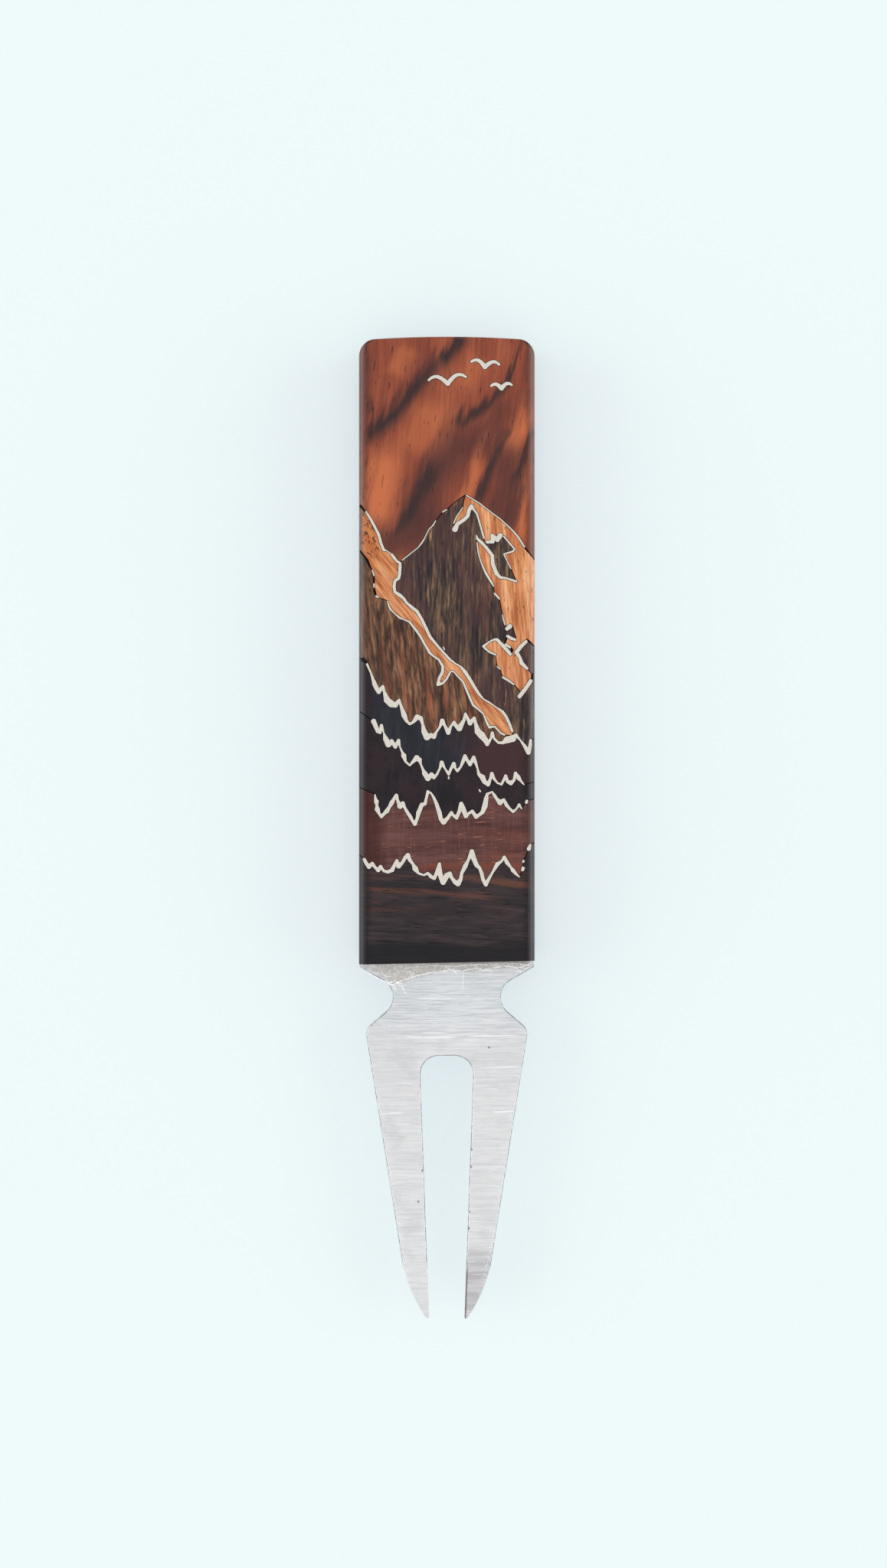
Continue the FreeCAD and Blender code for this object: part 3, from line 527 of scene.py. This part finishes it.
def foreground_extra(f, grain, colour):
    """Brown haze high up, near-black wood at the foot, and short dark dashes."""
    haze = f.streaks(f.turned(f.place, 97.0), 1.0, 10.0)
    high = f.y.rise(4.8, 6.8) * f.y.rise(11.5, 8.6)
    colour = f.mix(haze.rise(0.48, 0.64) * high * 0.7, colour, tone(112, 68, 50))
    foot = (f.y + (haze - 0.5) * 1.4).rise(2.7, 1.4)
    colour = f.mix(foot * 0.85, colour, tone(24, 24, 28))
    dashes = f.streaks(f.turned(f.place, 92.0), 0.09, 1.3, detail=1.0)
    colour = f.mix(dashes.rise(0.6, 0.68) * 0.7, colour, tone(20, 18, 21))
    return edge_shadow(f, colour, 1.6, 0.6)


def foreground_wood():
    tones = ((0.0, tone(36, 32, 36)), (0.5, tone(52, 43, 45)), (1.0, tone(72, 57, 57)))
    return wood("foreground_ebony", tones, lean=93.0, broad_size=(0.5, 6.0),
                fine_size=(0.12, 1.5), contrast=(0.28, 0.72), extra=foreground_extra,
                roughness=0.5, marks=((9.3, 11.6, 0.12, 0.35),))


def back_wood():
    tones = ((0.0, tone(52, 34, 30)), (0.4, tone(92, 52, 40)), (0.75, tone(128, 70, 48)),
             (1.0, tone(158, 90, 60)))
    return wood("back_cocobolo", tones, lean=3.0, broad_size=(1.1, 16.0), fine_size=(0.16, 2.6),
                fibre=0.35, pores=0.3, wave=1.6)


def board_wood():
    tones = ((0.0, tone(34, 27, 27)), (0.5, tone(54, 41, 38)), (1.0, tone(78, 58, 50)))
    return wood("board_walnut", tones, lean=1.0, broad_size=(0.5, 9.0), fine_size=(0.14, 2.0))


# ---------------------------------------------------------------- other finishes

def white_filler():
    """Off-white granular filler, sanded flush, with tiny dark grains."""
    f = Finish("white_filler")
    grains = f.noise(f.place, 9.0, 3.0, 0.6)
    colour = f.ramp(grains.rise(0.3, 0.7), ((0.0, tone(200, 190, 176)), (0.5, tone(224, 216, 204)),
                                            (1.0, tone(238, 232, 222))))
    specks = f.cells(f.place, 4.2)
    colour = f.mix(specks.rise(0.17, 0.1) * 0.75, colour, tone(122, 110, 98))
    colour = f.mix(f.z.rise(-0.05, -0.3) * 0.6, colour, tone(120, 105, 92))
    return f.close(colour, 0.75, grains, 0.03, {"Specular IOR Level": 0.3})


def steel_scratches(f, across, coarse, fine):
    """Scratches with their highlights painted in, as bright white marks: short ones all over, and
    a few long ones in their places.
    """
    marks = f.streaks(across, 0.06, 1.8, detail=1.0).rise(0.66, 0.72) * 0.6
    scratches = (((-1.4, -4.1), 0.012, 2.2), ((-1.6, -8.3), 0.0, 3.4), ((5.0, -8.15), 0.01, 3.2),
                 ((-6.0, -16.6), 0.06, 1.5), ((6.2, -16.4), 0.05, 1.5), ((5.6, -11.6), 0.04, 2.4))
    for (x, y), slope, half_length in scratches:
        off = abs(f.y - y - (f.x - x) * slope + (coarse - 0.5) * 0.1)
        mark = off.rise(0.11, 0.03) * fine.rise(0.34, 0.5)
        marks = marks.at_least(mark * abs(f.x - x).rise(half_length, half_length * 0.6))
    return marks


def steel_sparkle(f):
    """Painted glints: fine bright specks, closer together along the prongs' outer edges."""
    glint_noise = f.noise(f.squeezed(f.place, (4.0, 9.0, 4.0)), 1.0, 2.0, 0.6)
    outer = abs(f.x) - (f.y - POINTS_START) * FLANK_SLOPE - POINTS_HALF
    outer = outer.rise(-1.0, -0.2) * f.y.rise(-12.0, -16.0)
    return (glint_noise.rise(0.66, 0.74) * 0.5 + glint_noise.rise(0.5, 0.62) * outer * 0.6).at_most(1.0)


def steel_flaws(f, colour):
    """Small dark pits, burrs at the slot's edges and a stain low in the slot."""
    for (x, y), size in (((-3.1, -26.2), 0.09), ((4.6, -9.4), 0.09), ((-2.6, -22.8), 0.12),
                         ((2.68, -20.5), 0.1), ((2.62, -22.4), 0.1), ((2.44, -27.3), 0.1),
                         ((2.38, -29.1), 0.1)):
        pit = ((f.x - x) ** 2.0 + (f.y - y) ** 2.0).rise(size * size * 3, size * size)
        colour = f.mix(pit * 0.7, colour, tone(110, 106, 108))
    slot_half = f.y * SLOT_SLOPE + SLOT_HALF_AT_END
    stain = (f.x - slot_half).rise(0.22, 0.1) * f.x.rise(0.5, 1.0) * f.y.rise(-32.5, -34.0)
    return f.mix(stain * 0.7, colour, tone(104, 78, 74))


def steel_rim(f):
    """1 on the broken edges of the plate, 0 on its faces and sides."""
    off_middle = abs(f.z - (STEEL_TOP - FACE) / MM + HALF_STEEL_MM)
    thinned = (POINTS_START - f.y).at_least(0.0) * POINT_SLOPE
    below_face = HALF_STEEL_MM - off_middle - thinned
    return below_face.rise(0.01, 0.05) * below_face.rise(0.2, 0.12)


def brushed_steel():
    """Steel plate, belt-ground across its width."""
    f = Finish("brushed_steel")
    across = f.turned(f.wavy(f.place, 0.3, 0.3), 90.0)
    coarse = f.streaks(across, 0.1, 4.0)
    fine = f.streaks(across, 0.035, 1.6)
    patches = f.noise(f.place, 0.3, 3.0, 0.55)
    light = coarse * 0.45 + fine * 0.55
    colour = f.ramp(light.rise(0.32, 0.68), ((0.0, tone(212, 213, 217)),
                                             (0.5, tone(238, 239, 241)),
                                             (1.0, tone(255, 255, 255))))
    neck = f.y.rise(-12.0, -5.0)
    colour = f.mix((1 - neck) * 0.5, colour, tone(252, 248, 246))
    colour = f.mix(patches.rise(0.5, 0.72) * 0.4, colour, tone(220, 219, 221))
    low = f.x.rise(0.5, 1.5) * f.y.rise(-30.5, -32.8)
    band = f.streaks(across, 0.5, 7.0).rise(0.42, 0.56)
    colour = f.mix(low * 0.5, colour, tone(204, 202, 205))
    colour = f.mix(low * band * 0.55, colour, tone(186, 184, 187))
    marks = steel_scratches(f, across, coarse, fine)
    # Real scratches, with their highlights painted in bright white.
    colour = f.mix(marks, colour, tone(255, 255, 255))
    sparkle = steel_sparkle(f)
    marks = marks.at_least(sparkle)
    # Painted glints, in white that is not metal.
    colour = f.mix(sparkle, colour, tone(255, 255, 255))
    colour = steel_flaws(f, colour)
    speckle = f.noise(f.place, 2.2, 3.0, 0.6)
    edge = steel_rim(f)
    # Painted shade: the broken edges get darker, speckled metal, so the lamps' reflection in them
    # stays dim.
    rim = f.mix(speckle.rise(0.42, 0.6), tone(92, 96, 104), tone(176, 176, 178))
    colour = f.mix(edge, colour, rim)
    roughness = 0.36 + (light - 0.5) * 0.3 + patches * 0.08 + edge * 0.2
    metallic = 1 - marks * 0.8
    return f.close(colour, roughness, light, 0.012, {"Anisotropic": 0.3}, metallic=metallic)


def amber_glue():
    """Glue line seen at the sides of the handle."""
    f = Finish("amber_glue")
    blur = f.noise(f.place, 1.5, 2.0)
    colour = f.ramp(blur.rise(0.35, 0.65), ((0.0, tone(58, 40, 30)), (1.0, tone(104, 76, 54))))
    return f.close(colour, 0.3 + blur * 0.2, blur, 0.01)


def dried_glue():
    """Grey film that has crazed into bright cracks, with a painted shadow of the handle in a band
    next to its end.
    """
    f = Finish("dried_glue")
    bent = f.wavy(f.place, 1.6, 0.9)
    cracks = f.cells(bent, 1.1, "DISTANCE_TO_EDGE").rise(0.08, 0.02)
    froth = f.noise(f.place, 5.0, 3.0, 0.65)
    patch = f.noise(f.place, 0.7, 2.0).rise(0.42, 0.58)
    bright = (cracks * patch * 0.9).at_least(froth.rise(0.5, 0.64) * 0.75)
    # Painted shadow: a band next to the handle's end is darkened and made less metallic.
    shade = f.y.rise(-0.45, -0.15)
    colour = f.mix(bright, tone(214, 208, 202), tone(255, 254, 252))
    colour = f.mix(shade * 0.6, colour, tone(160, 154, 148))
    metallic = (1 - bright * 0.9) * (1 - shade * 0.5)
    return f.close(colour, 0.42 - bright * 0.1, froth, 0.04, metallic=metallic)


def glue_crust():
    """White, frothy crust where the squeezed-out glue has cracked open; it is given a faint glow
    of its own, which is painted light.
    """
    f = Finish("glue_crust")
    froth = f.noise(f.place, 6.0, 2.0)
    colour = f.mix(froth, tone(238, 237, 235), tone(255, 255, 255))
    # Painted light: a faint glow keeps the crust bright beside the handle's shade.
    return f.close(colour, 0.6 + froth * 0.2,
                   fixed={"Emission Strength": 1.0, "Emission Color": (0.2, 0.2, 0.2, 1.0)})


def pale_floor():
    """Even pale surface with a faint glow of its own, so that shadows stay weak."""
    f = Finish("pale_floor")
    cloud = f.noise(f.place, 0.012, 2.0)
    colour = f.mix(cloud, (0.43, 0.47, 0.40, 1.0), (0.45, 0.49, 0.42, 1.0))
    return f.close(colour, 0.9, fixed={"Specular IOR Level": 0.0, "Emission Strength": 1.0,
                                       "Emission Color": (0.438, 0.482, 0.553, 1.0)})


# ---------------------------------------------------------------- pieces

def only(piece):
    """Makes a piece the one selected and active object."""
    bpy.ops.object.select_all(action="DESELECT")
    piece.select_set(True)
    bpy.context.view_layer.objects.active = piece


def add_floor():
    """Wide plain floor, just clear of the handle's back."""
    clearance = 0.02 * MM
    bpy.ops.object.select_all(action="DESELECT")
    bpy.ops.mesh.primitive_plane_add(size=6.0, location=(0, 0, -clearance))
    floor = bpy.context.active_object
    floor.name = "floor"
    floor.data.materials.append(pale_floor())


def lay_bead(name, places, width):
    """Thin broken bead of dried glue along a line on the steel."""
    step, jitter, lift, lift_jitter = 0.16, 0.07, 0.06, 0.02
    data = bpy.data.curves.new(name, "CURVE")
    data.dimensions = "3D"
    data.bevel_depth = width / 2 * MM
    data.bevel_resolution = 1
    data.use_fill_caps = True
    spline = data.splines.new("POLY")
    steps = []
    for (x, y), (next_x, next_y) in zip(places, places[1:]):
        count = max(2, round(math.hypot(next_x - x, next_y - y) / step))
        steps += [(x + (next_x - x) * i / count, y + (next_y - y) * i / count)
                  for i in range(count)]
    steps.append(places[-1])
    spline.points.add(len(steps) - 1)
    for point, (x, y) in zip(spline.points, steps):
        point.co = ((x + random.uniform(-jitter, jitter)) * MM,
                    END + (y + random.uniform(-jitter, jitter)) * MM,
                    STEEL_TOP + (lift + random.uniform(-lift_jitter, lift_jitter)) * MM, 1.0)
        point.radius = random.uniform(0.35, 1.25)
    bead = bpy.data.objects.new(name, data)
    bpy.context.scene.collection.objects.link(bead)
    only(bead)
    bpy.ops.object.convert(target="MESH")
    return bpy.context.active_object


def add_glue_beads():
    """Raised cracks in the squeezed-out glue, as one piece.

    Each line is its places and the width of its bead, in millimetres."""
    lines = (
        (((-9.1, -0.9), (-8.2, -1.5), (-7.0, -2.1), (-5.9, -2.6), (-4.9, -2.1), (-3.4, -1.6),
          (-1.9, -1.25), (-0.6, -1.1), (0.4, -0.9), (1.7, -1.1), (3.0, -0.75), (4.0, -1.0),
          (4.9, -0.7), (6.2, -0.5), (7.4, -0.6), (8.1, -1.3)), 0.14),
        (((-4.4, -0.8), (-3.2, -0.6), (-1.6, -0.5), (0.0, -0.55), (1.4, -0.5), (3.0, -0.35),
          (5.2, -0.3), (7.4, -0.25), (8.8, -0.4)), 0.08),
        (((-6.6, -2.0), (-5.9, -2.6), (-5.4, -3.2)), 0.12),
        (((-5.4, -2.3), (-4.8, -2.9), (-4.4, -3.5)), 0.1),
        (((-6.2, -2.2), (-5.2, -2.3), (-4.6, -2.6)), 0.1),
        (((-8.9, -0.9), (-7.6, -1.2), (-6.2, -1.7)), 0.06),
        (((7.5, -0.7), (8.2, -0.6), (9.0, -0.3)), 0.1),
        (((7.4, -1.5), (8.0, -1.0), (8.8, -0.7)), 0.08),
        (((1.75, -1.1), (1.85, -2.1), (1.8, -3.0)), 0.06),
        (((-0.2, -0.5), (0.5, -1.0), (1.2, -1.3)), 0.12),
        (((4.6, -0.8), (4.9, -1.3)), 0.07),
    )
    beads = [lay_bead("glue_bead_%d" % number, places, width)
             for number, (places, width) in enumerate(lines, 1)]
    only(beads[0])
    for bead in beads:
        bead.select_set(True)
    bpy.ops.object.join()
    cracks = bpy.context.active_object
    cracks.name = "glue_cracks"
    cracks.data.materials.clear()
    cracks.data.materials.append(glue_crust())
    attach(cracks, "root")


def dress_nodes():
    """Gives every carried-over node its finish, by its material slot."""
    finishes = {
        "steel": brushed_steel(), "back_wood": back_wood(), "board_wood": board_wood(),
        "sky_wood": sky_wood(), "light_wood": light_wood(), "mountain_wood": mountain_wood(),
        "foothill_wood": foothill_wood(), "upper_forest_wood": upper_forest_wood(),
        "middle_forest_wood": middle_forest_wood(), "lower_forest_wood": lower_forest_wood(),
        "foreground_wood": foreground_wood(), "white_filler": white_filler(),
        "glue": amber_glue(), "dried_glue": dried_glue(),
    }
    slots = {part["node"]: part["material_slot"] for part in frame["record"]["subparts"]}
    for name, node in frame["nodes"].items():
        node.data.materials.clear()
        node.data.materials.append(finishes[slots[name]])


set_camera()
set_lights()
add_floor()
dress_nodes()
add_glue_beads()
